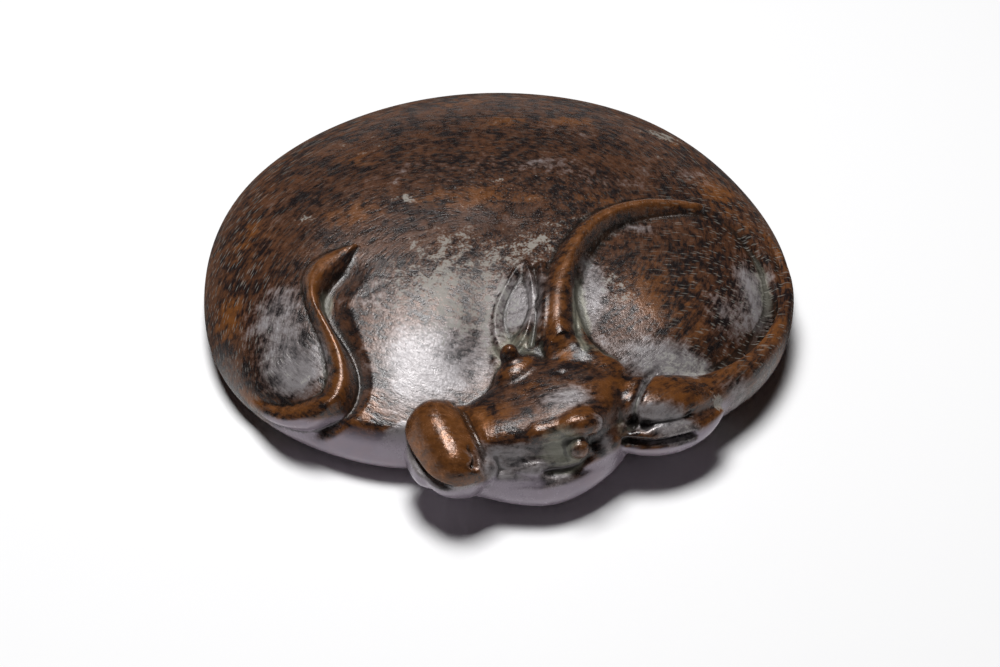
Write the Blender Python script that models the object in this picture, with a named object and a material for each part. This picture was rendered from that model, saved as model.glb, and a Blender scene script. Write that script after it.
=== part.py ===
"""A round bronze paperweight: a water buffalo lying curled up, cast in one piece.

Metres, +Z up. The origin is the middle of the flat base. The head lies along the
front (-Y) with its muzzle to the left, and the back curls round behind it.
"""

import math

import bmesh
import bpy
import numpy as np

# Driving sizes, in metres
LENGTH = 0.094  # across the body from left to right
HEIGHT = 0.020  # from the table to the top of the back
RIM_HEIGHT = 0.0040  # from the table to the widest part of the body
TAIL_RISE = 0.0020  # how far the tail stands out of the flank
HORN_RISE = 0.0019  # how far the far horn stands out of the back
DISH_DEPTH = 0.0014  # how far the shoulder between the horns is sunk along its edge
CUT_DEPTH = 0.0010  # how deep the mouth and the creases are cut

# Fineness of the solid
CELL = LENGTH / 160  # size of a face before the count is brought down
MOST_TRIANGLES = 8800

# The carving is laid out in ninety-fourths of the length across, and in
# twentieths of the height up, each about a millimetre at the real size.
U = LENGTH / 94
V = HEIGHT / 20

# The body's outline seen from above: its radius every 30 degrees from +X
OUTLINE = (46.6, 46.8, 48.4, 48.6, 48.8, 49.0, 47.2, 46.2, 42.0, 36.6, 39.5, 44.2)
BASE_SHARE = 0.80  # radius of the flat base as a share of the outline
DOME_POWER = 2.7  # how late the back turns down towards the rim

# The head's own frame: where the poll is, and which way the nose points
POLL = (15.7, -30.4)
NOSE_ANGLE = math.radians(-153)
HEAD_ROLL = math.radians(8)  # the near side of the face lies lower

# Head stations: along the nose, to the near side, top, bottom, half width
SKULL = (
    (-4.0, -3.4, 15.4, 6, 4.0),
    (-1.5, -2.8, 16.8, 5, 6.0),
    (3.0, -1.4, 17.2, 4, 8.2),
    (8.0, -0.5, 17.1, 4, 9.2),
    (12.0, -0.6, 16.4, 4, 8.5),
    (16.0, -0.8, 15.6, 5, 7.1),
    (19.5, -1.2, 14.8, 6, 6.0),
    (23.0, -1.4, 13.9, 7, 5.4),
    (26.0, -1.4, 13.0, 8, 5.0),
)
JAW = (
    (-3.5, -0.3, 10.0, 4.4, 7.6),
    (1.5, -0.1, 10.6, 2.7, 9.5),
    (6.0, 0.1, 10.4, 1.5, 10.4),
    (10.0, 0.1, 9.9, 0.7, 10.8),
    (13.5, -0.1, 9.6, 0.6, 10.5),
    (17.5, -0.6, 9.6, 1.4, 9.0),
    (21.0, -1.1, 9.6, 2.8, 7.5),
    (24.5, -1.6, 10.2, 4.2, 6.5),
    (28.0, -2.0, 10.8, 5.2, 6.1),
    (31.5, -2.4, 10.6, 5.8, 6.0),
)
CHEEK = (
    (-3.0, 0.6, 11.6, 4, 5.0),
    (2.0, 2.0, 12.8, 4, 6.8),
    (7.5, 2.6, 12.8, 4, 7.4),
    (13.0, 1.8, 12.0, 4, 6.8),
    (18.0, 0.7, 11.0, 5, 5.4),
    (22.5, 0.1, 10.4, 6, 4.2),
)

# Lines cut into the head or raised on it: rise, half width, and places as for the stations
HEAD_LINES = (
    # The band over the poll from horn to horn
    (0.5, 3.2, ((2.6, -8.6, 17.6), (0.2, -5.0, 17.6), (-1.6, -1.0, 17.2), (-4.0, 1.8, 16.6))),
    # The brow's crest, and the hollow under it round the eye
    (0.6, 3.2, ((14.6, 4.4, 14.6), (12.0, 5.6, 15.4), (9.4, 6.2, 15.9), (7.4, 6.9, 15.8), (5.6, 8.0, 14.6))),
    (-0.7, 2.0, ((13.4, 6.7, 13.0), (11.4, 7.7, 13.2), (9.4, 8.1, 13.5), (7.4, 8.8, 13.0))),
    # The cheek's lower edge
    (-0.3, 1.6, ((16.6, 7.3, 9.2), (13.6, 8.7, 9.3), (10.6, 9.7, 9.3))),
    # The nostril's hook, and two pits of the casting
    (-1.2, 0.9, ((24.0, 3.4, 14.4), (23.7, 4.8, 13.4), (24.5, 5.6, 12.4), (25.8, 5.0, 12.6))),
    (-0.7, 0.8, ((26.6, 1.6, 14.6), (26.9, 1.7, 14.5))),
    (-0.4, 0.7, ((27.6, 3.3, 13.4), (27.8, 3.3, 13.2))),
    # The ring where the near horn grows out of the head, and the pit below it
    (-0.8, 0.9, ((-6.2, 1.4, 14.4), (-4.6, 3.4, 15.2), (-2.8, 5.2, 14.6), (-1.4, 6.4, 12.6))),
    (-1.0, 1.8, ((-1.0, 7.4, 11.4), (-2.2, 8.0, 11.2))),
    # The near ear's opening and the fold above it
    (-1.6, 1.1, ((1.0, 9.0, 9.8), (-1.9, 10.3, 9.4), (-5.4, 11.3, 9.3), (-8.8, 11.5, 9.0))),
    (-0.6, 0.9, ((-2.0, 8.6, 11.6), (-5.6, 9.0, 11.6), (-9.2, 9.2, 11.4))),
    # The ring where the far horn grows out of the head
    (-0.5, 0.6, ((4.6, -10.4, 18.2), (2.6, -9.9, 18.9), (0.6, -9.9, 18.2))),
    # The whorl on the forehead
    (-0.3, 1.0, ((6.4, -1.9, 17.2), (6.2, -1.9, 17.2))),
)

# Horn and ear stations: place, then half width and half height
NEAR_HORN = (
    (12.0, -29.6, 13.4, 3.4, 3.4),
    (15.5, -31.0, 12.7, 3.9, 3.9),
    (18.6, -31.8, 12.1, 4.0, 4.0),
    (22.0, -31.6, 11.3, 3.9, 4.2),
    (25.8, -30.4, 10.0, 3.6, 4.3),
    (30.2, -28.0, 8.3, 3.1, 3.9),
    (34.2, -25.1, 7.3, 2.6, 3.4),
    (37.4, -22.1, 6.9, 2.3, 3.1),
    (40.8, -17.4, 6.6, 2.0, 2.8),
    (43.2, -12.4, 6.8, 1.7, 2.5),
    (44.6, -7.6, 7.2, 1.4, 2.2),
    (45.2, -3.4, 7.9, 1.2, 2.0),
    (45.1, 0.4, 8.8, 1.0, 1.6),
    (44.2, 3.8, 10.2, 0.8, 1.3),
    (42.4, 7.2, 11.9, 0.4, 0.7),
)
NEAR_EAR = (
    (15.5, -37.2, 9.2, 1.8, 2.4),
    (18.9, -36.9, 9.0, 2.6, 3.0),
    (22.0, -36.1, 8.6, 3.1, 3.3),
    (25.0, -35.2, 8.3, 3.2, 3.3),
    (28.3, -33.9, 8.2, 2.9, 3.0),
    (31.2, -32.4, 8.4, 2.2, 2.3),
    (33.8, -30.8, 8.9, 1.0, 1.2),
)

# Where each carved line runs over the plain back, seen from above
TAIL = ((-39.5, -24.2), (-34.8, -28.5), (-30.7, -31.0), (-27.2, -31.9), (-24.8, -31.2), (-23.8, -29.0),
        (-23.9, -26.3), (-25.0, -23.0), (-26.4, -19.9), (-27.8, -16.6), (-28.6, -13.2), (-28.1, -9.8),
        (-26.5, -7.5), (-24.0, -5.3), (-21.6, -3.7))
GROOVE = ((-28.3, -33.6), (-24.9, -33.2), (-22.5, -31.8), (-21.4, -29.0), (-21.9, -25.4), (-23.5, -21.6),
          (-25.6, -18.0), (-26.8, -15.0), (-26.1, -12.0), (-23.8, -8.8), (-21.0, -5.2))
FAR_HORN = ((11.0, -31.0), (9.8, -27.6), (8.9, -24.6), (8.8, -21.0), (9.2, -16.0), (10.7, -10.6),
            (12.6, -6.4), (15.5, -1.8), (19.0, 1.8), (23.2, 4.2), (27.5, 5.7), (31.5, 6.6))
DISH_CENTRE = (27.8, -12.0)
DISH_RADII = (16.4, 19.2)
FAR_EAR_SLIT = ((5.2, -10.4), (5.5, -14.0), (5.3, -18.0), (5.0, -22.0), (4.6, -24.4))
FAR_EAR_RIM = ((6.2, -10.0), (6.5, -14.0), (6.5, -18.0), (6.2, -22.0), (5.8, -24.0))


def smoothstep(low, high, value):
    """0 below low, 1 above high, and a smooth turn between them."""
    t = np.clip((value - low) / (high - low), 0, 1)
    return t * t * (3 - 2 * t)


def bump(distance, reach):
    """1 at distance 0, falling smoothly to 0 at reach."""
    return 1 - smoothstep(0, reach, distance)


def rounded_distance(a, b, square):
    """Distance from the middle of an oval that is pointed below 2 and squarer above it."""
    return (np.abs(a) ** square + np.abs(b) ** square) ** (1 / square)


def smooth_row(rows, place, closed=False):
    """The rows' values at a place between them, along a smooth curve (Catmull-Rom)."""
    rows = np.array(rows, float)
    count = len(rows)
    if closed:
        i = np.floor(place).astype(int)
        a, b, c, d = (rows[(i + k) % count] for k in (-1, 0, 1, 2))
    else:
        i = np.clip(np.floor(place).astype(int), 0, count - 2)
        rows = np.concatenate([2 * rows[:1] - rows[1:2], rows, 2 * rows[-1:] - rows[-2:-1]])
        a, b, c, d = (rows[i + k] for k in (0, 1, 2, 3))
    t = place - i
    if rows.ndim > 1:
        t = t[:, None]
    return 0.5 * (2 * b + (c - a) * t + (2 * a - 5 * b + 4 * c - d) * t**2
                  + (3 * b - a - 3 * c + d) * t**3)


def outline_radius(angle):
    """Radius of the body's outline towards an angle."""
    turn = np.mod(angle, 2 * math.pi) / (2 * math.pi)
    return smooth_row(OUTLINE, turn * len(OUTLINE), closed=True) * U


def back_height(x, y):
    """Height of the plain back over a place in plan, before any carving."""
    reach = outline_radius(np.arctan2(y, x))
    share = np.minimum(np.hypot(x, y) / reach, 1)
    dome = RIM_HEIGHT + (HEIGHT - RIM_HEIGHT) * np.sqrt(1 - share**DOME_POWER)
    # Between the tail and the head the flank slopes down to a crisp edge over a steep side
    inward = reach * (1 - share) / U
    flank = (8.3 + 0.62 * inward - 0.0095 * inward**2) * V
    below = np.maximum(dome - flank, 0)
    below *= smoothstep(-31, -22, x / U) * smoothstep(8, -4, x / U) * smoothstep(14, -22, y / U)
    return np.maximum(dome - below, RIM_HEIGHT)


def on_back(points, lift=0.0):
    """A smooth path through plan places, laid on the plain back and lifted."""
    place = np.linspace(0, len(points) - 1, 12 * (len(points) - 1) + 1)
    plan = smooth_row(points, place) * U
    return np.column_stack([plan, back_height(plan[:, 0], plan[:, 1]) + lift])


def head_place(along, side, z):
    """A place given from the poll: along the nose, towards the near side, and up."""
    ca, sa = math.cos(NOSE_ANGLE), math.sin(NOSE_ANGLE)
    return (
        (POLL[0] + ca * along - sa * side) * U,
        (POLL[1] + sa * along + ca * side) * U,
        z * V,
    )


def add_ball(bm, detail, shape):
    """Adds a ball to the mesh and moves each of its points by shape(unit points)."""
    made = bmesh.ops.create_icosphere(bm, subdivisions=detail, radius=1)["verts"]
    unit = np.array([v.co for v in made])
    unit /= np.linalg.norm(unit, axis=1)[:, None]
    for vert, place in zip(made, shape(unit)):
        vert.co = place


def add_lump(bm, centre, radii, turn=NOSE_ANGLE, tilt=0.0, roll=HEAD_ROLL, square=2.0, detail=4):
    """A rounded block: radii along, across and up, squarer as square grows."""

    def shape(unit):
        size = (np.abs(unit) ** square).sum(1) ** (1 / square)
        p = unit / size[:, None] * np.array([radii[0] * U, radii[1] * U, radii[2] * V])
        for first, second, angle in ((1, 2, -roll), (2, 0, tilt), (0, 1, turn)):
            a, b = p[:, first].copy(), p[:, second].copy()
            p[:, first] = a * math.cos(angle) - b * math.sin(angle)
            p[:, second] = a * math.sin(angle) + b * math.cos(angle)
        return p + np.array(centre)

    add_ball(bm, detail, shape)


def add_loft(bm, middle, half_width, half_height, roll=0.0, square=2.0, blunt=2.5, detail=5):
    """A limb through middle places with an oval or squarish section at each."""
    middle = np.array(middle)
    sizes = np.column_stack([np.array(half_width) * U, np.array(half_height) * V])

    def shape(unit):
        ring = np.hypot(unit[:, 1], unit[:, 2])
        size = (np.abs(unit[:, 0]) ** blunt + ring**blunt) ** (1 / blunt)
        place = (unit[:, 0] / size + 1) / 2 * (len(middle) - 1)
        around = np.arctan2(unit[:, 2], unit[:, 1])
        c, s = np.cos(around), np.sin(around)
        out = ring / size / (np.abs(c) ** square + np.abs(s) ** square) ** (1 / square)
        ahead = smooth_row(middle, np.minimum(place + 0.05, len(middle) - 1))
        ahead -= smooth_row(middle, np.maximum(place - 0.05, 0))
        ahead /= np.linalg.norm(ahead, axis=1)[:, None]
        across = np.cross(ahead, (0, 0, 1))
        across /= np.linalg.norm(across, axis=1)[:, None]
        up = np.cross(across, ahead)
        half = smooth_row(sizes, place)
        w, h = (out * c * half[:, 0])[:, None], (out * s * half[:, 1])[:, None]
        w, h = w * math.cos(roll) - h * math.sin(roll), w * math.sin(roll) + h * math.cos(roll)
        return smooth_row(middle, place) + across * w + up * h

    add_ball(bm, detail, shape)


def add_body(bm):
    """The curled body: a low dome over a rim, drawn in to a smaller flat base."""

    def shape(unit):
        angle = np.arctan2(unit[:, 1], unit[:, 0])
        share = np.hypot(unit[:, 0], unit[:, 1])
        # Closer rows towards the rim, where the back turns down
        share = np.sin(share * math.pi / 2) ** 0.8
        reach = outline_radius(angle) * share
        x, y = reach * np.cos(angle), reach * np.sin(angle)
        under = np.clip((share - BASE_SHARE) / (1 - BASE_SHARE), 0, 1)
        below = RIM_HEIGHT * (1 - np.sqrt(1 - under**2))
        # The base starts a little low, and is cut off flat at the end
        below -= 0.6 * U * smoothstep(BASE_SHARE + 0.02, BASE_SHARE - 0.06, share)
        z = np.where(unit[:, 2] >= 0, back_height(x, y), below)
        return np.column_stack([x, y, z])

    add_ball(bm, 7, shape)


def add_head(bm):
    """Skull, jaw, muzzle, brows, eyes and the near ear and horn."""
    for stations, square, roll in ((SKULL, 2.8, 0.5), (JAW, 2.6, 0.5), (CHEEK, 2.2, 1)):
        middle = [head_place(a, s, (top + bottom) / 2) for a, s, top, bottom, half in stations]
        tall = [(top - bottom) / 2 for a, s, top, bottom, half in stations]
        wide = [half for a, s, top, bottom, half in stations]
        add_loft(bm, middle, wide, tall, -roll * HEAD_ROLL, square, blunt=4)
    add_lump(bm, head_place(25.3, -1.4, 10.3), (4.9, 7.5, 4.6), NOSE_ANGLE + 0.06, math.radians(-30),
             math.radians(10), square=3.4)
    # The root of the far horn, the peak of each brow, and the eyes
    add_lump(bm, head_place(3.4, -6.6, 15.2), (3.6, 3.4, 3.0))
    add_lump(bm, head_place(6.8, 6.6, 14.6), (2.3, 1.7, 1.7))
    add_lump(bm, head_place(10.8, -7.0, 13.6), (4.4, 3.2, 3.6), NOSE_ANGLE + 0.3, math.radians(6))
    add_lump(bm, head_place(11.4, -9.2, 16.8), (1.5, 1.5, 2.1), NOSE_ANGLE, 0)
    add_lump(bm, head_place(9.2, 8.9, 12.4), (1.8, 1.7, 1.8), detail=3)
    add_lump(bm, head_place(12.2, -12.0, 13.4), (1.1, 1.0, 1.1), detail=3)
    for stations, square in ((NEAR_HORN, 2.6), (NEAR_EAR, 2.0)):
        middle = [(x * U, y * U, z * V) for x, y, z, wide, tall in stations]
        wide = [wide for x, y, z, wide, tall in stations]
        tall = [tall for x, y, z, wide, tall in stations]
        add_loft(bm, middle, wide, tall, square=square)


def nearest_on(path, points):
    """Each point's distance to the path, its share of the way along, and its side."""
    start, step = path[:-1], np.diff(path, axis=0)
    length = np.linalg.norm(step, axis=1)
    gone = np.concatenate([[0], np.cumsum(length)])
    best = np.full(len(points), np.inf)
    share, side = np.zeros(len(points)), np.zeros(len(points))
    for a, d, n, before in zip(start, step, length, gone):
        off = points - a
        t = np.clip(off @ d / n**2, 0, 1)
        gap = np.linalg.norm(off - t[:, None] * d, axis=1)
        near = gap < best
        best[near] = gap[near]
        share[near] = (before + t[near] * n) / gone[-1]
        side[near] = (d[0] * off[near, 1] - d[1] * off[near, 0]) / n
    return best, share, side


def ridge(distance, half_width):
    """Height share of a rounded ridge over its middle line."""
    return np.clip(1 - (distance / half_width) ** 2, 0, 1) ** 0.8


def carve_body(points):
    """How far the points of the plain body move along their normals."""
    x, y = points[:, 0], points[:, 1]
    upper = smoothstep(RIM_HEIGHT * 0.6, RIM_HEIGHT * 1.3, points[:, 2])
    move = np.zeros(len(points))

    # The shoulder between the horns is sunk along its edge and full in the middle
    across, deep = (x / U - DISH_CENTRE[0]) / DISH_RADII[0], (y / U - DISH_CENTRE[1]) / DISH_RADII[1]
    dish = rounded_distance(across, deep, 2.3)
    open_side = smoothstep(-4, 6, y / U) * smoothstep(26, 34, x / U)
    edge = smoothstep(0.35, 0.98, dish) * smoothstep(1.06, 0.99, dish)
    edge *= smoothstep(0.97, 0.91, np.hypot(x, y) / outline_radius(np.arctan2(y, x)))
    move -= DISH_DEPTH * edge * (1 - 0.8 * open_side) * upper

    # The hollow of the thigh beside the tail, and the soft hollows of the flank
    for cx, cy, rx, ry, deep in ((-31.5, -23.5, 8.5, 9, 1.3), (-2, -25, 9, 7, 0.5), (28, -17, 11, 9, -0.4)):
        move -= deep * U * bump(np.hypot((x / U - cx) / rx, (y / U - cy) / ry), 1) * upper

    tail, share, side = nearest_on(on_back(TAIL), points)
    width = (1.3 + 1.3 * bump(np.abs(share - 0.36), 0.28) + 1.2 * bump(np.abs(share - 0.86), 0.12)) * U
    width *= smoothstep(1.0, 0.94, share)
    groove, length, side = nearest_on(on_back(GROOVE), points)
    deep = (1.0 + 0.7 * bump(np.abs(length - 0.68), 0.25)) * smoothstep(1.0, 0.85, length)
    deep *= smoothstep(0.0, 0.12, length)
    move -= CUT_DEPTH * deep * bump(groove, np.where(side < 0, 4.6, 1.8) * U) * upper
    rise = smoothstep(0.0, 0.22, share) * (1 - 0.5 * smoothstep(0.7, 1.0, share))
    move += TAIL_RISE * rise * ridge(tail, np.maximum(width, 1e-6)) * upper

    horn, share, side = nearest_on(on_back(FAR_HORN), points)
    width = (2.7 - 1.9 * share**2.5) * U
    move += HORN_RISE * (1 - 0.65 * share**1.5) * ridge(horn, width) * upper

    # The far ear: a hollow leaf, a slit, and the ear's other edge beside the horn
    up_leaf = (y / U + 17.2) / 8.2
    across_leaf = (x / U - 2.5 - 0.14 * (y / U + 17)) / (3.1 - 0.9 * up_leaf)
    leaf = rounded_distance(up_leaf, across_leaf, 1.6)
    move += (0.4 * smoothstep(1.10, 0.98, leaf) - 1.0 * smoothstep(0.98, 0.55, leaf)) * U
    slit, share, side = nearest_on(on_back(FAR_EAR_SLIT), points)
    move -= 0.7 * U * bump(slit, 0.8 * U)
    rim, share, side = nearest_on(on_back(FAR_EAR_RIM), points)
    move += 0.6 * U * ridge(rim, 0.9 * U)
    return move


def carve_head(points):
    """How far the points of the plain head move along their normals."""
    off = points[:, :2] / U - np.array(POLL)
    ca, sa = math.cos(NOSE_ANGLE), math.sin(NOSE_ANGLE)
    along, side, z = off @ (ca, sa), off @ (-sa, ca), points[:, 2] / V
    face = smoothstep(-9.4, -8.2, side)
    move = np.zeros(len(points))
    # The mouth, round the front of the muzzle and a little way along each side
    mouth = bump(np.abs(z - (10.3 - 0.06 * (side + 1.5))), 0.8) * smoothstep(6.5, 4.5, side) * face
    move -= 1.2 * CUT_DEPTH * mouth * smoothstep(23.5, 26.5, along)
    # The crease behind the muzzle
    crease = np.abs(along - (22.0 + 0.07 * (side + 1)))
    move -= 0.6 * CUT_DEPTH * bump(crease, 1.2) * smoothstep(8, 11, z) * face
    near = np.abs(along - 9) < 26
    for rise, half_width, stations in HEAD_LINES:
        path = np.array([head_place(*station) for station in stations])
        gap, share, _ = nearest_on(path, points[near])
        move[near] += rise * CUT_DEPTH * bump(gap, half_width * U)
    return move


def lowered(obj, most):
    """Brings the number of triangles down with a Decimate modifier, and applies it."""
    triangles = sum(len(p.vertices) - 2 for p in obj.data.polygons)
    fewer = obj.modifiers.new("fewer", "DECIMATE")
    fewer.ratio = min(1.0, most / triangles)
    fewer.use_collapse_triangulate = True
    settle(obj)


def settle(obj):
    """Applies the object's modifiers."""
    graph = bpy.context.evaluated_depsgraph_get()
    mesh = bpy.data.meshes.new_from_object(obj.evaluated_get(graph))
    obj.modifiers.clear()
    obj.data = mesh


def read(values, key):
    """One vector per point of a mesh collection, as an array."""
    flat = np.empty(len(values) * 3, np.float32)
    values.foreach_get(key, flat)
    return flat.reshape(-1, 3).astype(float)


def cut_flat(obj):
    """Cuts everything under the table plane off, and closes the base with one face."""
    bm = bmesh.new()
    bm.from_mesh(obj.data)
    bmesh.ops.bisect_plane(bm, geom=bm.verts[:] + bm.edges[:] + bm.faces[:], dist=1e-7,
                           plane_co=(0, 0, 0), plane_no=(0, 0, 1), clear_inner=True)
    bmesh.ops.holes_fill(bm, edges=[e for e in bm.edges if e.is_boundary], sides=0)
    bmesh.ops.recalc_face_normals(bm, faces=bm.faces)
    bm.to_mesh(obj.data)
    bm.free()


def make_form(name, cell, smoothing):
    """The whole animal as one closed skin of faces about a cell wide."""
    bm = bmesh.new()
    add_body(bm)
    add_head(bm)
    mesh = bpy.data.meshes.new(name)
    bm.to_mesh(mesh)
    bm.free()
    obj = bpy.data.objects.new(name, mesh)
    bpy.context.scene.collection.objects.link(obj)
    skin = obj.modifiers.new("one skin", "REMESH")
    skin.mode = "VOXEL"
    skin.voxel_size = cell
    soften = obj.modifiers.new("soften", "SMOOTH")
    soften.factor = 0.5
    soften.iterations = smoothing
    settle(obj)
    points = read(obj.data.vertices, "co")
    body = bump(np.abs(points[:, 2] - back_height(points[:, 0], points[:, 1])), 1.5 * U)
    move = carve_body(points) * body + carve_head(points)
    points += read(obj.data.vertex_normals, "vector") * move[:, None]
    obj.data.vertices.foreach_set("co", points.ravel())
    obj.data.update()
    return obj


def bronze():
    """Dark brown patinated bronze."""
    material = bpy.data.materials.new("bronze")
    material.use_nodes = True
    shader = material.node_tree.nodes["Principled BSDF"]
    shader.inputs["Base Color"].default_value = (0.075, 0.035, 0.020, 1)
    shader.inputs["Metallic"].default_value = 0.85
    shader.inputs["Roughness"].default_value = 0.38
    return material


def main():
    for obj in list(bpy.data.objects):
        bpy.data.objects.remove(obj)
    buffalo = make_form("buffalo", CELL, 4)
    lowered(buffalo, MOST_TRIANGLES)
    cut_flat(buffalo)
    buffalo.data.materials.append(bronze())
    buffalo.data.shade_smooth()


if __name__ == "__main__":
    main()
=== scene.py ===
"""The looks of a round bronze paperweight: a water buffalo lying curled up, cast in one piece.

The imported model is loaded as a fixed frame. One operator casts the animal finely in its place
and gives it its worn patina, and another sets the table, the light and the camera.
"""

import math

import bmesh
import bpy
import numpy as np
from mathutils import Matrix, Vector


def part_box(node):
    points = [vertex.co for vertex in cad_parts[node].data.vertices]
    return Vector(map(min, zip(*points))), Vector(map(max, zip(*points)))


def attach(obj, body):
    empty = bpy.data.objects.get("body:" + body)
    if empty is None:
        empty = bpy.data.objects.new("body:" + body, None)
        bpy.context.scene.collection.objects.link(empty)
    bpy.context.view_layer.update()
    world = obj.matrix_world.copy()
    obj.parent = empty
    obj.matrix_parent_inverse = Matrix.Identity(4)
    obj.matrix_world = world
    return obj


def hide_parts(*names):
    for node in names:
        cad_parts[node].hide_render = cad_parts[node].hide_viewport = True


bl_info = {
    "name": "Bronze buffalo paperweight",
    "version": (1, 0, 0),
    "blender": (4, 5, 0),
    "location": "3D View > Sidebar > Paperweight",
    "description": "Casts a curled-up water buffalo in dark bronze, as a paperweight",
    "category": "Add Mesh",
}

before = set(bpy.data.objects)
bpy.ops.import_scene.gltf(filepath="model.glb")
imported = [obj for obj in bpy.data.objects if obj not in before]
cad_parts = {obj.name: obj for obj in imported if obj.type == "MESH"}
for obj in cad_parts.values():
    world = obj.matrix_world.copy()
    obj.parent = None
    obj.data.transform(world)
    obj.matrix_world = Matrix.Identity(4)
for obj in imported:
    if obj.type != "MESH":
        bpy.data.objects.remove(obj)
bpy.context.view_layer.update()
LOW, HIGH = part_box("buffalo")

# The carving is laid out in ninety-fourths of the body's length, each about a millimetre
LENGTH = round(HIGH.x - LOW.x, 3)
U = LENGTH / 94
HEIGHT = 20 * U  # from the table to the top of the back
RIM_HEIGHT = 4.0 * U  # from the table to the widest part of the body

# The body's outline seen from above: its radius every 30 degrees from +X
OUTLINE = (46.6, 46.8, 48.4, 48.6, 48.8, 49.0, 47.2, 46.2, 42.0, 36.6, 39.5, 44.2)
BASE_SHARE = 0.80  # radius of the flat base as a share of the outline
BODY_DETAIL = 7  # how often the balls that become body, limbs, lumps and eyes are subdivided
LIMB_DETAIL = 5
LUMP_DETAIL = 4
EYE_DETAIL = 3
DOME_POWER = 2.7  # how late the back turns down towards the rim

# The flank between tail and head: its height at the edge, its slope inwards, and how that slackens
FLANK_EDGE = 8.6
FLANK_SLOPE = 0.52
FLANK_CURVE = 0.0065

# The head's own frame: where the poll is, and which way the nose points
POLL = (15.7, -30.4)
NOSE_ANGLE = math.radians(-153)
HEAD_ROLL = math.radians(8)  # the near side of the face lies lower

# Head stations: along the nose, to the near side, top, bottom, half width
SKULL = (
    (-4.0, -3.4, 15.4, 6, 4.0),
    (-1.5, -2.8, 16.8, 5, 6.0),
    (3.0, -1.4, 17.2, 4, 8.2),
    (8.0, -0.5, 17.1, 4, 9.2),
    (12.0, -0.6, 16.4, 4, 8.5),
    (16.0, -0.8, 15.6, 5, 7.1),
    (19.5, -1.2, 14.8, 6, 6.0),
    (23.0, -1.4, 13.9, 7, 5.4),
    (26.0, -1.4, 13.0, 8, 5.0),
)
JAW = (
    (-3.5, -0.3, 10.0, 4.4, 7.6),
    (1.5, -0.1, 10.6, 2.7, 9.5),
    (6.0, 0.1, 10.4, 1.5, 10.4),
    (10.0, 0.1, 9.9, 0.7, 10.8),
    (13.5, -0.1, 9.6, 0.6, 10.5),
    (17.5, -0.6, 9.6, 1.4, 9.0),
    (21.0, -1.1, 9.6, 2.8, 7.5),
    (24.5, -1.6, 10.2, 4.2, 6.5),
    (28.0, -2.0, 10.8, 5.2, 6.1),
    (31.5, -2.4, 10.6, 5.8, 6.0),
)
CHEEK = (
    (-3.0, 0.6, 11.6, 4, 5.0),
    (2.0, 2.0, 12.8, 4, 6.8),
    (7.5, 2.6, 12.8, 4, 7.4),
    (13.0, 1.8, 12.0, 4, 6.8),
    (18.0, 0.7, 11.0, 5, 5.4),
    (22.5, 0.1, 10.4, 6, 4.2),
)

# Lines cut into the head or raised on it: rise, half width, and places as for the stations
HEAD_LINES = (
    # The band over the poll from horn to horn
    (0.5, 3.2, ((2.6, -8.6, 17.6), (0.2, -5.0, 17.6), (-1.6, -1.0, 17.2), (-4.0, 1.8, 16.6))),
    # The brow's crest, and the hollow under it round the eye
    (0.8, 2.3, ((14.2, 5.6, 14.6), (12.0, 6.7, 15.4), (9.4, 7.4, 15.9), (7.2, 8.0, 15.8), (6.0, 8.4, 15.0))),
    (-0.3, 2.0, ((13.4, 6.7, 13.0), (11.4, 7.7, 13.2), (9.4, 8.1, 13.5), (7.4, 8.8, 13.0))),
    # The cut under the cheek, and the raised fold in front of it
    (-0.6, 1.3, ((14.4, 8.3, 9.3), (12.0, 9.3, 9.2), (9.4, 10.0, 9.6), (7.8, 9.9, 10.4))),
    (0.8, 2.6, ((22.0, 5.2, 9.8), (18.5, 6.6, 9.6), (15.5, 7.8, 9.4))),
    # The nostril's hook, and two pits of the casting
    (-1.2, 0.9, ((24.0, 3.4, 14.2), (23.7, 4.8, 13.4), (24.5, 5.6, 12.4), (25.8, 5.0, 12.6))),
    (-0.35, 0.8, ((26.6, 1.6, 14.6), (26.9, 1.7, 14.5))),
    (-0.3, 0.7, ((27.6, 3.3, 13.4), (27.8, 3.3, 13.2))),
    # The pit below the near horn's ring
    (-1.0, 1.8, ((-1.0, 7.4, 11.4), (-2.2, 8.0, 11.2))),
    # The near ear's opening and the fold above it
    (-1.6, 1.1, ((1.0, 9.0, 9.8), (-1.9, 10.3, 9.4), (-5.4, 11.3, 9.3), (-8.8, 11.5, 9.0))),
    (-0.6, 0.9, ((-2.0, 8.6, 11.6), (-5.6, 9.0, 11.6), (-9.2, 9.2, 11.4))),
    # The ring where the far horn grows out of the head
    (-0.5, 0.6, ((4.6, -10.4, 18.2), (2.6, -9.9, 18.9), (0.6, -9.9, 18.2))),
    # The whorl on the forehead
    (-0.3, 1.0, ((6.4, -1.9, 17.2), (6.2, -1.9, 17.2))),
)

MOUTH_HEIGHT = 10.3
MUZZLE_CREASE = 22.0  # how far along the nose the crease behind the muzzle runs

# Lumps of the head: place as for the stations, radii along, across and up
MUZZLE = ((25.3, -1.4, 10.3), (5.3, 7.9, 4.8))
MUZZLE_TURN = 0.06  # away from the nose
MUZZLE_TILT = math.radians(-28)
MUZZLE_ROLL = math.radians(12)
FAR_HORN_ROOT = ((2.2, -4.6, 13.1), (5.8, 6.4, 4.1))
NEAR_BROW = ((7.8, 6.1, 14.5), (3.6, 2.8, 2.4))
FAR_BROW = ((10.8, -7.0, 13.6), (4.4, 3.2, 3.6))
FAR_BROW_TURN = 0.3
FAR_BROW_TILT = math.radians(6)
FAR_BROW_PEAK = ((11.4, -9.2, 16.8), (1.5, 1.5, 2.1))
EYES = (
    ((9.2, 8.9, 12.4), (1.8, 1.7, 1.8)),
    ((12.2, -12.0, 13.4), (1.1, 1.0, 1.1)),
)

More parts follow.
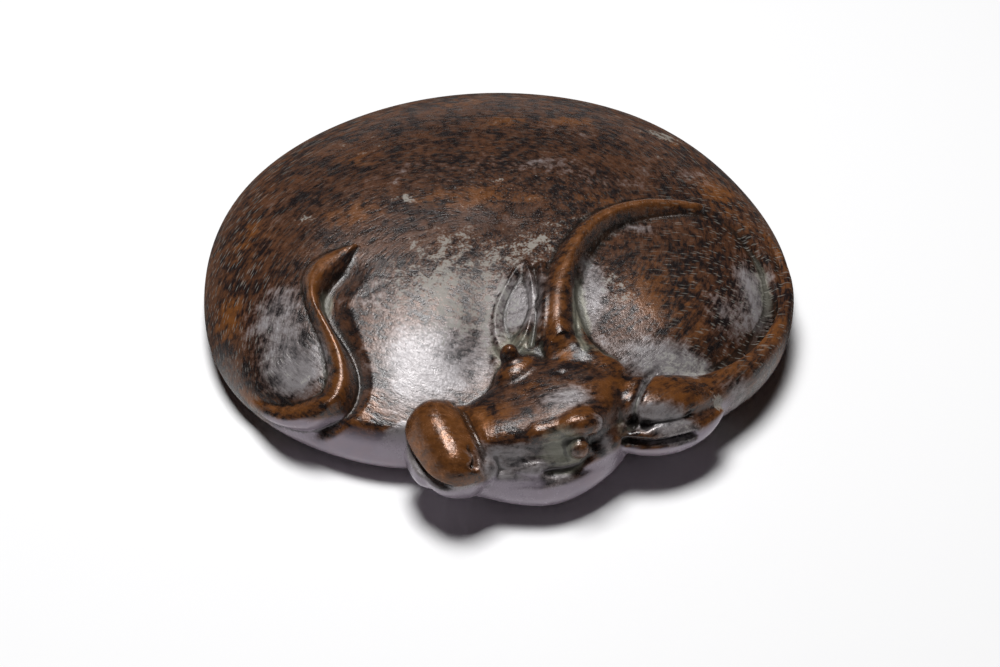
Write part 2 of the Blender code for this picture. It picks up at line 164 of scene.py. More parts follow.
# Horn and ear stations: place, then half width and half height
NEAR_HORN = (
    (12.0, -29.6, 13.4, 3.4, 3.4),
    (15.5, -31.4, 12.7, 4.2, 3.9),
    (18.6, -32.4, 12.1, 4.6, 4.0),
    (22.0, -32.5, 11.5, 4.8, 4.2),
    (25.8, -31.3, 10.3, 4.5, 4.4),
    (30.2, -28.4, 8.3, 3.5, 3.9),
    (34.2, -25.1, 7.7, 2.8, 3.6),
    (37.4, -22.1, 7.4, 2.5, 3.4),
    (40.8, -17.4, 7.2, 2.1, 3.1),
    (43.1, -12.4, 7.4, 1.8, 2.8),
    (44.5, -7.6, 7.7, 1.5, 2.4),
    (45.1, -3.4, 8.2, 1.3, 2.1),
    (45.1, 0.4, 8.8, 1.0, 1.6),
    (44.2, 3.8, 10.2, 0.8, 1.3),
    (42.4, 7.2, 11.9, 0.4, 0.7),
)
NEAR_EAR = (
    (15.5, -37.2, 9.2, 1.8, 2.4),
    (18.9, -36.9, 9.0, 2.6, 3.0),
    (22.0, -36.1, 8.6, 3.1, 3.3),
    (25.0, -35.2, 8.3, 3.2, 3.3),
    (28.3, -33.9, 8.2, 2.9, 3.0),
    (31.2, -32.4, 8.4, 2.2, 2.3),
    (33.8, -30.8, 8.9, 1.0, 1.2),
)

# The ring where the near horn grows out of the head: its place, and how far it leans
HORN_RING = (20.6, -34)
HORN_RING_LEAN = 0.35

# Where each carved line runs over the plain back, seen from above
TAIL = ((-39.5, -24.2), (-34.8, -28.5), (-30.7, -31.0), (-27.2, -31.9), (-24.8, -31.2), (-23.8, -29.0),
        (-23.9, -26.3), (-25.0, -23.0), (-26.4, -19.9), (-27.8, -16.6), (-28.6, -13.2), (-28.1, -9.8),
        (-26.5, -7.5), (-24.0, -5.3), (-21.6, -3.7))
TAIL_HALF_WIDTH = 1.3
TAIL_LIFT = 1.5  # height of its middle over the plain back
TAIL_BULGES = ((1.3, 0.36, 0.28), (1.2, 0.86, 0.12))  # how much wider, where along, over which share
GROOVE = ((-28.3, -33.6), (-24.9, -33.2), (-22.5, -31.8), (-21.4, -29.0), (-21.9, -25.4), (-23.5, -21.6),
          (-25.6, -18.0), (-26.8, -15.0), (-26.1, -12.0), (-23.8, -8.8), (-21.0, -5.2))
FAR_HORN = ((11.0, -31.0), (9.8, -27.6), (8.9, -24.6), (8.7, -21.0), (9.0, -15.6), (10.4, -9.8),
            (12.2, -5.0), (15.0, -0.4), (18.6, 2.9), (23.0, 5.2), (27.5, 6.4), (31.5, 7.0))
FAR_HORN_HALF_WIDTH = 2.7
FAR_HORN_TAPER = 1.7  # how much narrower it is at its tip
HORN_LIFT = 1.2  # height of the far horn's middle over the plain back

# The dish of the shoulder between the horns
DISH_CENTRE = (28.1, -11.8)
DISH_RADII = (16.6, 19.6)
DISH_SQUARE = 2.3
DISH_DRAWN_IN = 0.30  # how much less far it reaches towards the near horn
NEAR_HORN_WAY = -0.70  # the angle from its centre towards that horn
DISH_OPENING = (32, 8)  # where its edge fades out, round the far horn's tip

# The hollows of the thigh and the flank, and a swelling in the shoulder: middle, reach across and
# reach deep, depth
HOLLOWS = (
    (-31.5, -23.5, 8.5, 9, 1.3),
    (-2, -25, 9, 7, 0.5),
    (28, -17, 11, 9, -0.4),
)

# The far ear: a hollow leaf, its slit, and its other edge beside the horn
FAR_EAR = (2.472, -17.2)  # its middle
FAR_EAR_HALF_LENGTH = 8.2
FAR_EAR_HALF_WIDTH = 3.1
FAR_EAR_LEAN = 0.14
FAR_EAR_SLIT = ((5.2, -10.4), (5.5, -14.0), (5.3, -18.0), (5.0, -22.0), (4.6, -24.4))
FAR_EAR_RIM = ((6.2, -10.0), (6.5, -14.0), (6.5, -18.0), (6.2, -22.0), (5.8, -24.0))

HAIR_START = math.radians(114)  # from -X round by the front to the far ear, where the rows of hair meet
HAIR_LENGTH = 42  # how far the rows of hair run for each radian round the rim

# Where the patina lies, seen from above: middle, reach across and reach deep, strength. The grey and dust
# near (25, -37), under the near horn, are partly a painted reflection of the pale table, and the dust near
# (28, -25), along the dish's low edge, is partly a painted sheen
GREY_PLACES = (
    (-31, -24, 9, 8, 1.0), (-34, -15, 7, 8, 0.8), (-12, -27, 11, 10, 1.0), (-6, -24, 9, 8, 0.7),
    (-19, -13, 9, 8, 0.55), (3, -16, 8, 9, 0.9), (14, -14, 4, 12, 0.9), (26, -25, 13, 5, 1.0),
    (40, -6, 6, 11, 0.9), (20, 1, 9, 3, 0.6), (3, 15, 18, 4, 0.5), (16, 11, 9, 4, 0.5),
    (-16, 14, 12, 5, 0.4), (8, 24, 15, 5, 0.4), (-16, 28, 10, 6, 0.4), (28, 16, 8, 7, 0.4),
    (-33, 8, 8, 8, 0.4), (34, -14, 5, 7, 0.7),
    (10, -36.5, 6, 3, 0.8), (8, -37.5, 4, 2.5, 0.5), (15.5, -40.5, 3, 2.5, 0.9), (25, -36.4, 9, 2.4, 1.0),
    (25, -37.2, 8, 1.6, 0.9), (36, -27, 5, 3, 0.5), (20.3, -32, 1.2, 4, 0.8), (2, -45.4, 9, 2.4, 1.0),
    (9, -44.6, 5, 2.4, 0.8),
)
DUST_PLACES = (
    (-4, -10, 16, 12, 0.62), (9, -4, 8, 5, 0.45), (-3, -19, 6, 7, 0.50), (-9, -20, 6, 8, 0.40),
    (13, 0, 6, 3, 0.60), (-15, 6, 3, 2, 0.8), (-31, 4, 3, 2, 0.5), (26, 29, 5, 3, 0.6), (45, -4, 2, 2, 0.7),
    (-16, -12, 9, 8, 0.42), (33.5, -30.5, 3, 1.6, 0.6), (-2, 12, 9, 4, 0.3), (17, -12, 4, 8, 0.50),
    (28, -25, 12, 4, 0.60), (27, -36.8, 9, 2, 0.60), (-31, -24, 5, 4, 0.30), (32, -8, 8, 8, 0.22),
    (22, 24, 20, 8, 0.18), (-20, 24, 20, 8, 0.15),
)
CHEEK_PLACES = ((2, -44, 9, 4, 0.9), (11, -43, 6, 3, 1.0))
DULL_PLACES = (
    (-4, -22, 7, 8, 0.8), (1.5, -38.8, 9, 2.8, 0.9), (9, -27.5, 4, 3, 0.9), (-2, -8, 14, 9, 0.5),
    (8, -37, 4, 2, 0.8),
)
RUST_PLACES = (
    (-3, 6.5, 11, 4, 1.0), (-12, 5, 7, 4, 0.9), (-23, 4, 8, 5, 0.9), (11, 29, 7, 3, 1.0),
    (1, 28, 6, 3, 0.9), (-42, -12, 3, 10, 1.0), (35, 12, 6, 8, 1.0), (-24, 17, 9, 5, 0.7),
    (25, -12, 9, 9, 0.95), (14, 6, 10, 3, 0.8), (30, -20, 7, 5, 0.6), (-40, 3, 4, 8, 0.8),
    (-8, 36, 12, 4, 0.7), (30, 26, 5, 5, 0.8), (-35, 22, 6, 6, 0.6), (15, -29.5, 8, 4, 0.8),
    (4.5, -34, 3.5, 2.5, 1.0), (-1, -37, 4, 2.5, 0.9), (12.5, -39.3, 3.0, 1.8, 1.3),
    (1.2, -26.5, 2, 2, 1.2), (24, -31, 9, 3, 0.7), (38, -22, 4, 6, 0.7),
)
GREEN_PLACES = (
    (-26.5, -14, 2.2, 3, 0.8), (-28, -27, 5, 5, 0.4), (2, -24, 7, 5, 0.8), (12, -19, 2.5, 9, 0.9),
    (41, -4, 4, 9, 0.6), (-10, -30, 9, 4, 0.4), (9, -43, 5, 1.8, 1.0), (10, -36, 4, 2, 0.5),
    (18, -38, 2.5, 2.5, 0.6), (20.5, -33, 1.2, 4, 0.7), (14.5, -26, 5, 2, 0.7),
)
MUZZLE_TOP = (25.8, -1.0, 12.5)  # the middle of its wear, as for the stations
PLACE_SPREAD = 1.35  # how far out a place fades to nothing, in its own reaches

# Over which reach a point is compared with the surface round it, to find the high places and cuts
FINE_REACH = 1.0
BROAD_REACH = 2.9

# How often the patina's mottling changes, in each metre
CLOUD_SCALE = 160.0
MOTTLE_SCALE = 620.0
SPECK_SCALE = 2600.0

# Streaks and strokes of hair: how many for each unit along, across and up
STREAKS = (0.35, 1.5, 1.0)
RIM_STROKES = (0.30, 2.6, 1.0)
SIDE_STROKES = (0.34, 2.6, 1.0)
SIDE_TURN = math.radians(-8)
PER_METRE = (1000.0, 1000.0, 1000.0)  # turns metres into millimetres
STROKE_REACH = 0.36  # from the middle of a stroke to its edge, as a share of its own room

# The stage, in metres, and the lens and its sensor in millimetres
TABLE_HALF = 2.5
LAMP_PLACE = (-0.05, 0.08, 0.65)
ROOM_COLOUR = (0.008, 0.006, 0.007, 1)
CAMERA_TARGET = (0, -0.0039, 0)
LENS = 100
SENSOR_WIDTH = 36


def smoothstep(low, high, value):
    """0 below low, 1 above high, and a smooth turn between them."""
    t = np.clip((value - low) / (high - low), 0, 1)
    return t * t * (3 - 2 * t)


def bump(distance, reach):
    """1 at distance 0, falling smoothly to 0 at reach."""
    return 1 - smoothstep(0, reach, distance)


def rounded_distance(a, b, square):
    """Distance from the middle of an oval that is pointed below 2 and squarer above it."""
    return (np.abs(a) ** square + np.abs(b) ** square) ** (1 / square)


def smooth_row(rows, place, closed=False):
    """The rows' values at a place between them, along a smooth curve (Catmull-Rom)."""
    rows = np.array(rows, float)
    count = len(rows)
    if closed:
        i = np.floor(place).astype(int)
        a, b, c, d = (rows[(i + k) % count] for k in (-1, 0, 1, 2))
    else:
        i = np.clip(np.floor(place).astype(int), 0, count - 2)
        rows = np.concatenate([2 * rows[:1] - rows[1:2], rows, 2 * rows[-1:] - rows[-2:-1]])
        a, b, c, d = (rows[i + k] for k in (0, 1, 2, 3))
    t = place - i
    if rows.ndim > 1:
        t = t[:, None]
    return 0.5 * (2 * b + (c - a) * t + (2 * a - 5 * b + 4 * c - d) * t**2
                  + (3 * b - a - 3 * c + d) * t**3)


def outline_radius(angle):
    """Radius of the body's outline towards an angle."""
    turn = np.mod(angle, 2 * math.pi) / (2 * math.pi)
    return smooth_row(OUTLINE, turn * len(OUTLINE), closed=True) * U


def back_height(x, y):
    """Height of the plain back over a place in plan, before any carving."""
    reach = outline_radius(np.arctan2(y, x))
    share = np.minimum(np.hypot(x, y) / reach, 1)
    dome = RIM_HEIGHT + (HEIGHT - RIM_HEIGHT) * np.sqrt(1 - share**DOME_POWER)
    # Between the tail and the head the flank slopes down to a crisp edge over a steep side
    inward = reach * (1 - share) / U
    flank = (FLANK_EDGE + FLANK_SLOPE * inward - FLANK_CURVE * inward**2) * U
    below = np.maximum(dome - flank, 0)
    below *= smoothstep(-31, -22, x / U) * smoothstep(8, -4, x / U) * smoothstep(14, -22, y / U)
    return np.maximum(dome - below, RIM_HEIGHT)


def on_back(points, lift=0.0):
    """A smooth path through plan places, laid on the plain back and lifted."""
    place = np.linspace(0, len(points) - 1, 12 * (len(points) - 1) + 1)
    plan = smooth_row(points, place) * U
    return np.column_stack([plan, back_height(plan[:, 0], plan[:, 1]) + lift])


def head_place(along, side, z):
    """A place given from the poll: along the nose, towards the near side, and up."""
    ca, sa = math.cos(NOSE_ANGLE), math.sin(NOSE_ANGLE)
    return (
        (POLL[0] + ca * along - sa * side) * U,
        (POLL[1] + sa * along + ca * side) * U,
        z * U,
    )


def head_way(points):
    """How far each point lies along the nose and towards the near side, from the poll."""
    off = points[:, :2] / U - np.array(POLL)
    ca, sa = math.cos(NOSE_ANGLE), math.sin(NOSE_ANGLE)
    return off @ (ca, sa), off @ (-sa, ca)


def add_ball(bm, detail, shape):
    """Adds a ball to the mesh and moves each of its points by shape(unit points)."""
    made = bmesh.ops.create_icosphere(bm, subdivisions=detail, radius=1)["verts"]
    unit = np.array([v.co for v in made])
    unit /= np.linalg.norm(unit, axis=1)[:, None]
    for vert, place in zip(made, shape(unit)):
        vert.co = place


def add_lump(bm, lump, turn=0.0, tilt=0.0, roll=HEAD_ROLL, square=2.0, detail=LUMP_DETAIL):
    """A rounded block of the head, turned away from the nose, squarer as square grows."""
    place, radii = lump

    def shape(unit):
        size = (np.abs(unit) ** square).sum(1) ** (1 / square)
        p = unit / size[:, None] * np.array(radii) * U
        for first, second, angle in ((1, 2, -roll), (2, 0, tilt), (0, 1, NOSE_ANGLE + turn)):
            a, b = p[:, first].copy(), p[:, second].copy()
            p[:, first] = a * math.cos(angle) - b * math.sin(angle)
            p[:, second] = a * math.sin(angle) + b * math.cos(angle)
        return p + np.array(head_place(*place))

    add_ball(bm, detail, shape)


def add_loft(bm, middle, half_width, half_height, roll=0.0, square=2.0, blunt=2.5):
    """A limb through middle places with an oval or squarish section at each."""
    middle = np.array(middle)
    sizes = np.column_stack([half_width, half_height]) * U

    def shape(unit):
        ring = np.hypot(unit[:, 1], unit[:, 2])
        size = (np.abs(unit[:, 0]) ** blunt + ring**blunt) ** (1 / blunt)
        place = (unit[:, 0] / size + 1) / 2 * (len(middle) - 1)
        around = np.arctan2(unit[:, 2], unit[:, 1])
        c, s = np.cos(around), np.sin(around)
        out = ring / size / (np.abs(c) ** square + np.abs(s) ** square) ** (1 / square)
        ahead = smooth_row(middle, np.minimum(place + 0.05, len(middle) - 1))
        ahead -= smooth_row(middle, np.maximum(place - 0.05, 0))
        ahead /= np.linalg.norm(ahead, axis=1)[:, None]
        across = np.cross(ahead, (0, 0, 1))
        across /= np.linalg.norm(across, axis=1)[:, None]
        up = np.cross(across, ahead)
        half = smooth_row(sizes, place)
        w, h = (out * c * half[:, 0])[:, None], (out * s * half[:, 1])[:, None]
        w, h = w * math.cos(roll) - h * math.sin(roll), w * math.sin(roll) + h * math.cos(roll)
        return smooth_row(middle, place) + across * w + up * h

    add_ball(bm, LIMB_DETAIL, shape)


def add_body(bm):
    """The curled body: a low dome over a rim, drawn in to a smaller flat base."""

    def shape(unit):
        angle = np.arctan2(unit[:, 1], unit[:, 0])
        share = np.hypot(unit[:, 0], unit[:, 1])
        # Closer rows towards the rim, where the back turns down
        share = np.sin(share * math.pi / 2) ** 0.8
        reach = outline_radius(angle) * share
        x, y = reach * np.cos(angle), reach * np.sin(angle)
        under = np.clip((share - BASE_SHARE) / (1 - BASE_SHARE), 0, 1)
        below = RIM_HEIGHT * (1 - np.sqrt(1 - under**2))
        # The base starts a little low, and is cut off flat at the end
        below -= 0.6 * U * smoothstep(BASE_SHARE + 0.02, BASE_SHARE - 0.06, share)
        z = np.where(unit[:, 2] >= 0, back_height(x, y), below)
        return np.column_stack([x, y, z])

    add_ball(bm, BODY_DETAIL, shape)


def add_head(bm):
    """Skull, jaw, muzzle, brows, eyes and the near ear and horn."""
    for stations, square, roll in ((SKULL, 2.8, 0.5), (JAW, 2.6, 0.5), (CHEEK, 2.2, 1)):
        middle = [head_place(a, s, (top + bottom) / 2) for a, s, top, bottom, half in stations]
        tall = [(top - bottom) / 2 for a, s, top, bottom, half in stations]
        wide = [half for a, s, top, bottom, half in stations]
        add_loft(bm, middle, wide, tall, -roll * HEAD_ROLL, square, blunt=4)
    add_lump(bm, MUZZLE, MUZZLE_TURN, MUZZLE_TILT, MUZZLE_ROLL, square=2.9)
    add_lump(bm, FAR_HORN_ROOT)
    add_lump(bm, NEAR_BROW)
    add_lump(bm, FAR_BROW, FAR_BROW_TURN, FAR_BROW_TILT)
    add_lump(bm, FAR_BROW_PEAK)
    for eye in EYES:
        add_lump(bm, eye, detail=EYE_DETAIL)
    for stations, square in ((NEAR_HORN, 2.6), (NEAR_EAR, 2.0)):
        middle = [(x * U, y * U, z * U) for x, y, z, wide, tall in stations]
        wide = [wide for x, y, z, wide, tall in stations]
        tall = [tall for x, y, z, wide, tall in stations]
        add_loft(bm, middle, wide, tall, square=square)


def nearest_on(path, points):
    """Each point's distance to the path, its share of the way along, and its side."""
    start, step = path[:-1], np.diff(path, axis=0)
    length = np.linalg.norm(step, axis=1)
    gone = np.concatenate([[0], np.cumsum(length)])
    best = np.full(len(points), np.inf)
    share, side = np.zeros(len(points)), np.zeros(len(points))
    for a, d, n, before in zip(start, step, length, gone):
        off = points - a
        t = np.clip(off @ d / n**2, 0, 1)
        gap = np.linalg.norm(off - t[:, None] * d, axis=1)
        near = gap < best
        best[near] = gap[near]
        share[near] = (before + t[near] * n) / gone[-1]
        side[near] = (d[0] * off[near, 1] - d[1] * off[near, 0]) / n
    return best, share, side


def ridge(distance, half_width):
    """Height share of a rounded ridge over its middle line."""
    return np.clip(1 - (distance / half_width) ** 2, 0, 1) ** 1.05


def carve_body(points, sizes):
    """How far the points of the plain body move along their normals."""
    x, y = points[:, 0], points[:, 1]
    upper = smoothstep(RIM_HEIGHT * 0.6, RIM_HEIGHT * 1.3, points[:, 2])
    move = np.zeros(len(points))

    # The shoulder between the horns is sunk along its edge and full in the middle
    across, deep = (x / U - DISH_CENTRE[0]) / DISH_RADII[0], (y / U - DISH_CENTRE[1]) / DISH_RADII[1]
    dish = rounded_distance(across, deep, DISH_SQUARE)
    towards_horn = np.maximum(np.cos(np.arctan2(deep, across) - NEAR_HORN_WAY), 0)
    dish *= 1 + DISH_DRAWN_IN * towards_horn**2
    open_side = bump(np.hypot(x / U - DISH_OPENING[0], y / U - DISH_OPENING[1]), 11)
    horn, share, side = nearest_on(on_back(FAR_HORN), points)
    # It stops at the far horn's inner side
    inside_horn = smoothstep(0.3, 1.6, horn * np.where(side < 0, 1, -1) / U)
    edge = (0.45 + 0.55 * smoothstep(0.30, 0.99, dish)) * smoothstep(1.05, 1.0, dish)
    edge *= 1 + 0.4 * smoothstep(30, 36, x / U) - 0.55 * smoothstep(-17, -27, y / U)
    edge *= smoothstep(0.99, 0.96, np.hypot(x, y) / outline_radius(np.arctan2(y, x)))
    move -= sizes.dish_depth * edge * (1 - 0.8 * open_side) * inside_horn * upper
    width = (FAR_HORN_HALF_WIDTH - FAR_HORN_TAPER * share**2.5) * U
    move += sizes.horn_rise * (1 - 0.5 * share**1.5) * ridge(horn, width) * upper

    for cx, cy, rx, ry, deep in HOLLOWS:
        move -= deep * U * bump(np.hypot((x / U - cx) / rx, (y / U - cy) / ry), 1) * upper

    # The tail, wider at its bend and near its end, and the groove beside it
    tail, share, _ = nearest_on(on_back(TAIL), points)
    width = TAIL_HALF_WIDTH
    for wider, place, reach in TAIL_BULGES:
        width = width + wider * bump(np.abs(share - place), reach)
    width = width * U * smoothstep(1.0, 0.94, share)
    groove, length, side = nearest_on(on_back(GROOVE), points)
    deep = (1.0 + 0.7 * bump(np.abs(length - 0.68), 0.25)) * smoothstep(1.0, 0.85, length)
    deep *= smoothstep(0.0, 0.12, length)
    reach = np.where(side < 0, 2.4 + 2.0 * smoothstep(0.45, 0.75, length), 1.8) * U
    move -= sizes.cut_depth * deep * bump(groove, reach) * upper
    rise = smoothstep(0.0, 0.22, share) * (1 - 0.5 * smoothstep(0.7, 1.0, share))
    move += sizes.tail_rise * rise * ridge(tail, np.maximum(width, 1e-6)) * upper

    # The far ear, narrower towards its tip
    from_middle = y / U - FAR_EAR[1]
    up_leaf = from_middle / FAR_EAR_HALF_LENGTH
    across_leaf = (x / U - FAR_EAR[0] - FAR_EAR_LEAN * from_middle) / (FAR_EAR_HALF_WIDTH - 0.9 * up_leaf)
    leaf = rounded_distance(up_leaf, across_leaf, 1.6)
    move += (0.4 * smoothstep(1.10, 0.98, leaf) - 1.0 * smoothstep(0.98, 0.55, leaf)) * U
    slit, _, _ = nearest_on(on_back(FAR_EAR_SLIT), points)
    move -= 0.7 * U * bump(slit, 0.8 * U)
    rim, _, _ = nearest_on(on_back(FAR_EAR_RIM), points)
    move += 0.6 * U * ridge(rim, 0.9 * U)
    return move


def horn_ring(points, half_width):
    """1 along the ring where the near horn grows out of the head, 0 off it."""
    x, y, z = points.T / U
    line = np.abs(x - HORN_RING[0] - HORN_RING_LEAN * (y - HORN_RING[1]))
    ring = bump(line, half_width) * smoothstep(-26.5, -27.5, y) * smoothstep(-38.5, -37, y)
    return ring * smoothstep(9.5, 11, z)


def carve_head(points, sizes):
    """How far the points of the plain head move along their normals."""
    along, side = head_way(points)
    z = points[:, 2] / U
    face = smoothstep(-9.4, -8.2, side)
    move = np.zeros(len(points))
    # The mouth, round the front of the muzzle and a little way along each side
    mouth = bump(np.abs(z - (MOUTH_HEIGHT - 0.06 * (side + 1.5))), 0.8) * smoothstep(6.5, 4.5, side) * face
    move -= 1.2 * sizes.cut_depth * mouth * smoothstep(23.5, 26.5, along)
    # The crease behind the muzzle
    crease = np.abs(along - (MUZZLE_CREASE + 0.07 * (side + 1)))
    move -= 0.6 * sizes.cut_depth * bump(crease, 1.2) * smoothstep(8, 11, z) * face
    move -= 0.7 * sizes.cut_depth * horn_ring(points, 1.0)
    # The lines reach no further than this from the middle of the head
    near = np.abs(along - 9) < 26
    for rise, half_width, stations in HEAD_LINES:
        path = np.array([head_place(*station) for station in stations])
        gap, _, _ = nearest_on(path, points[near])
        move[near] += rise * sizes.cut_depth * bump(gap, half_width * U)
    return move


def read(values, key):
    """One vector per point of a mesh collection, as an array."""
    flat = np.empty(len(values) * 3, np.float32)
    values.foreach_get(key, flat)
    return flat.reshape(-1, 3).astype(float)


def settle(obj):
    """Applies the object's modifiers."""
    graph = bpy.context.evaluated_depsgraph_get()
    mesh = bpy.data.meshes.new_from_object(obj.evaluated_get(graph))
    obj.modifiers.clear()
    obj.data = mesh


def lowered(obj, most):
    """Brings the number of triangles down with a Decimate modifier, and applies it."""
    triangles = sum(len(p.vertices) - 2 for p in obj.data.polygons)
    fewer = obj.modifiers.new("fewer", "DECIMATE")
    fewer.ratio = min(1.0, most / triangles)
    fewer.use_collapse_triangulate = True
    settle(obj)


def cut_flat(obj):
    """Cuts everything under the table plane off, and closes the base."""
    bm = bmesh.new()
    bm.from_mesh(obj.data)
    bmesh.ops.bisect_plane(bm, geom=bm.verts[:] + bm.edges[:] + bm.faces[:], dist=1e-7,
                           plane_co=(0, 0, 0), plane_no=(0, 0, 1), clear_inner=True)
    bmesh.ops.holes_fill(bm, edges=[e for e in bm.edges if e.is_boundary], sides=0)
    bmesh.ops.triangulate(bm, faces=[f for f in bm.faces if len(f.verts) > 4])
    bmesh.ops.recalc_face_normals(bm, faces=bm.faces)
    bm.to_mesh(obj.data)
    bm.free()


def cast_form(name, sizes):
    """The whole animal as one closed skin, carved, and cut flat below."""
    bm = bmesh.new()
    add_body(bm)
    add_head(bm)
    mesh = bpy.data.meshes.new(name)
    bm.to_mesh(mesh)
    bm.free()
    obj = bpy.data.objects.new(name, mesh)
    bpy.context.scene.collection.objects.link(obj)
    skin = obj.modifiers.new("one skin", "REMESH")
    skin.mode = "VOXEL"
    skin.voxel_size = sizes.grain * 1
    soften = obj.modifiers.new("soften", "SMOOTH")
    soften.factor = 0.5
    soften.iterations = 12
    settle(obj)
    points = read(obj.data.vertices, "co")
    # The body's carving stays off the head, which stands clear of the plain back
    body = bump(np.abs(points[:, 2] - back_height(points[:, 0], points[:, 1])), 1.5 * U)
    move = carve_body(points, sizes) * body + carve_head(points, sizes)
    points += read(obj.data.vertex_normals, "vector") * move[:, None]
    obj.data.vertices.foreach_set("co", points.ravel())
    obj.data.update()
    cut_flat(obj)
    lowered(obj, sizes.most_triangles)
    obj.data.shade_smooth()
    return obj


def standing_out(mesh, reach):
    """How far each point stands out of the surface smoothed over a reach, in units."""
    points = read(mesh.vertices, "co")
    edges = np.empty(len(mesh.edges) * 2, np.int32)
    mesh.edges.foreach_get("vertices", edges)
    a, b = edges.reshape(-1, 2).T
    count = np.bincount(edges, minlength=len(points))[:, None]
    soft = points.copy()
    size = np.linalg.norm(points[a] - points[b], axis=1).mean()
    for _ in range(round((reach / size) ** 2) + 1):
        total = np.column_stack([
            np.bincount(a, soft[b, k], len(points)) + np.bincount(b, soft[a, k], len(points))
            for k in range(3)
        ])
        soft = 0.3 * soft + 0.7 * total / count
    return ((points - soft) * read(mesh.vertex_normals, "vector")).sum(1) / U


def over_places(points, places):
    """The strength of soft oval places in plan, 0 to 1, at each point."""
    x, y = points[:, 0] / U, points[:, 1] / U
    bare = np.ones(len(points))
    for cx, cy, rx, ry, strength in places:
        bare *= 1 - strength * bump(np.hypot((x - cx) / rx, (y - cy) / ry) / PLACE_SPREAD, 1)
    return 1 - bare


def note(mesh, name, values):
    """Keeps a number or a vector for each point on the mesh, for its material to read."""
    kind = "FLOAT" if values.ndim == 1 else "FLOAT_VECTOR"
    kept = mesh.attributes.new(name, kind, "POINT")
    kept.data.foreach_set("value" if values.ndim == 1 else "vector", values.astype(np.float32).ravel())


def rubbed_lines(points):
    """1 along the tail and both horns, where hands rub the metal bare, 0 off them."""
    near_horn = np.array([(x * U, y * U, (z + 0.7 * tall) * U) for x, y, z, wide, tall in NEAR_HORN])
    far_horn, tail = on_back(FAR_HORN, HORN_LIFT * U), on_back(TAIL, TAIL_LIFT * U)
    rubbed = np.zeros(len(points))
    for path, reach in ((far_horn, 2.7), (tail, 2.4), (near_horn, 3.0)):
        gap, _, _ = nearest_on(path, points)
        rubbed = np.maximum(rubbed, bump(gap, reach * U))
    return rubbed


def note_wear(mesh, points, head, held):
    """Keeps where hands rub the casting bright, where grey, green and dust lie, and where painted shade
    darkens the cuts.
    """
    x, y, z = points.T / U
    along, _ = head_way(points)
    fine, broad = standing_out(mesh, FINE_REACH * U), standing_out(mesh, BROAD_REACH * U)
    bare = rubbed_lines(points)

    # High places are rubbed, and more so on the head and the front rim
    worn = np.clip(smoothstep(0.03, 0.16, broad) + smoothstep(0.01, 0.05, fine) * 0.5, 0, 1)
    worn = worn * (0.25 + 0.32 * held)
    worn = np.maximum(worn, bare * (0.95 - 0.45 * smoothstep(32, 40, x)))
    muzzle = np.linalg.norm((points - np.array(head_place(*MUZZLE_TOP))) / U, axis=1)
    worn = np.maximum(worn, smoothstep(9.5, 6.0, muzzle) * smoothstep(9.0, 10.5, z) * 0.95)
    worn = np.maximum(worn, over_places(points, RUST_PLACES) * 0.62)
    cheek = over_places(points, CHEEK_PLACES) * head * smoothstep(14.5, 13.0, z)
    ring = horn_ring(points, 1.3)
    worn = worn * (1 - 0.8 * cheek) * (1 - ring)

    # Painted shade lies in the cuts and, as a painted shadow of the far horn, along its inner side, but less
    # at the dish's low edge; the cuts also gather green patina
    hollow = 0.5 * smoothstep(-0.08, -0.35, broad) + 0.6 * smoothstep(-0.012, -0.07, fine)
    gap, share, side = nearest_on(on_back(FAR_HORN, HORN_LIFT * U), points)
    hollow = np.maximum(hollow, bump(np.abs(gap / U - 3.2 + share), 0.8) * (side < 0) * 0.9)
    hollow *= 1 - 0.8 * bump(np.hypot((x - 26) / 16, (y + 26.5) / 4.5), 1)

    lip = smoothstep(10.6, 9.8, z) * smoothstep(23, 26, along) * head
    grey = np.maximum(over_places(points, GREY_PLACES), np.maximum(lip, cheek)) * (1 - bare)
    green = np.clip(over_places(points, GREEN_PLACES) + 0.3 * hollow, 0, 1) * (1 - bare)
    note(mesh, "worn", worn)
    note(mesh, "polish", held * smoothstep(0.25, 0.6, worn))
    note(mesh, "hollow", hollow)
    note(mesh, "grey", np.maximum(grey, ring))
    note(mesh, "green", np.maximum(green, ring * 0.6))
    note(mesh, "dust", over_places(points, DUST_PLACES) * (1 - head) * (1 - bare))


def note_hair(mesh, points, head, held, steep):
    """Keeps where strokes of hair lie, which way they run and where the back is dull."""
    x, y, z = points.T / U
    angle, out = np.arctan2(y, x), np.hypot(x, y)
    # Short strokes follow the rim round from the far ear, leaning inwards on the left
    gone = HAIR_LENGTH * (np.mod(np.pi - angle + HAIR_START, 2 * np.pi) - HAIR_START)
    leaning = np.clip(gone, -25, 70)
    lean = 0.55 * (leaning - leaning**2 / 140)
    note(mesh, "hair_way", np.column_stack([gone, out + lean, z]))
    # The seam is where the first row of hair meets the last
    turned = np.abs(np.mod(angle - HAIR_START, 2 * np.pi) - np.pi)
    note(mesh, "seam", bump(turned * out, 1.3))

    rim = out / (outline_radius(angle) / U)
    round_rim = smoothstep(0.70, 0.92, rim) * smoothstep(-32, -18, y) * (1 - head)
    right_side = smoothstep(16, 34, x) * smoothstep(-28, -20, y) * smoothstep(24, 12, y)
    rim_hair = np.clip(0.3 * smoothstep(-20, -8, y) + round_rim, 0, 1)
    note(mesh, "rim_hair", rim_hair * (1 - head) * (1 - steep) * (1 - right_side))
    note(mesh, "side_hair", right_side * (1 - head))
    dull = smoothstep(0.58, 0.86, rim) * smoothstep(-24, -12, y) * (1 - held) * (1 - steep)
    note(mesh, "dull", np.maximum(dull, over_places(points, DULL_PLACES)) * 0.92)


